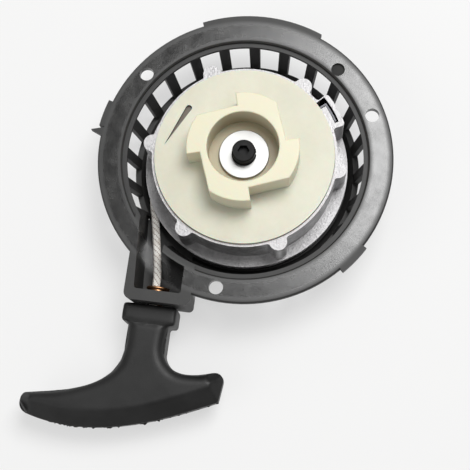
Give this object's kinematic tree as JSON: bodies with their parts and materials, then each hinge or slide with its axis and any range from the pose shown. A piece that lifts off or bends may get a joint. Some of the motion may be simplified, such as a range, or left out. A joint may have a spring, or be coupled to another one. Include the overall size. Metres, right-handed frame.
{
  "type": "recoil starter",
  "caption": "Easy-start recoil starter: vented round housing with a rope reel, sprung four-claw driver and T-handle on a pull rope.",
  "frame": {"origin": "on the reel axis, in the plane of the flange's mounting face", "axes": "+Z along the reel axis towards the engine and the claws; -Y roughly the way the rope is pulled"},
  "size_m": [0.1781, 0.1995, 0.0482],
  "materials": {
    "housing_plastic": "moulded black nylon, satin",
    "handle_plastic": "moulded black plastic, satin",
    "driver_nylon": "natural nylon",
    "reel_casting": "die cast, as cast",
    "zinc_steel": "bright zinc plate",
    "sleeve_steel": "turned",
    "black_steel": "black oxide",
    "spring_steel": "blued strip",
    "brass": "dull copper brown",
    "rope": "braided cord with dark flecks"
  },
  "bodies": {
    "housing": {"housing": "housing_plastic", "rope_eyelet": "brass", "post_insert": "brass", "post_sleeve": "sleeve_steel", "retaining_washer": "zinc_steel", "lock_washer": "black_steel", "centre_screw": "black_steel", "rope_run_inner": "rope"},
    "reel": {"reel": "reel_casting", "main_spring": "spring_steel", "spring_cover": "zinc_steel", "cover_rivet_1": "zinc_steel", "cover_rivet_2": "zinc_steel", "cover_rivet_3": "zinc_steel", "rope_coil": "rope", "reel_rope_knot": "rope", "buffer_spring": "spring_steel"},
    "driver": {"driver_cup": "driver_nylon"},
    "rope_end": {"rope_run_outer": "rope", "handle_knot": "rope", "handle_rope_washer": "zinc_steel"},
    "handle": {"pull_handle": "handle_plastic"}
  },
  "joints": [
    {"name": "handle_pull", "type": "slide", "parent": "housing", "child": "rope_end", "axis": [-0.1323, -0.9912, 0], "range_m": [0, 0.6]},
    {"name": "reel_spin", "type": "hinge", "parent": "housing", "child": "reel", "pos_m": [0, 0, -0.02], "axis": [0, 0, 1], "range_deg": [0, 800], "stiffness_Nm_per_rad": 0.05, "springref_deg": -458.37, "deforming": ["main_spring", "rope_coil"]},
    {"name": "driver_windup", "type": "hinge", "parent": "reel", "child": "driver", "pos_m": [0, 0, 0], "axis": [0, 0, 1], "range_deg": [-270, 0], "stiffness_Nm_per_rad": 0.3, "deforming": ["buffer_spring"]},
    {"name": "handle_twist", "type": "hinge", "parent": "rope_end", "child": "handle", "pos_m": [-0.0449, -0.0683, -0.0165], "axis": [-0.1323, -0.9912, 0], "range_deg": [-180, 180]}
  ],
  "couplings": [
    {"joint": "reel_spin", "follows": "handle_pull", "rad_per_m": 23.1}
  ]
}
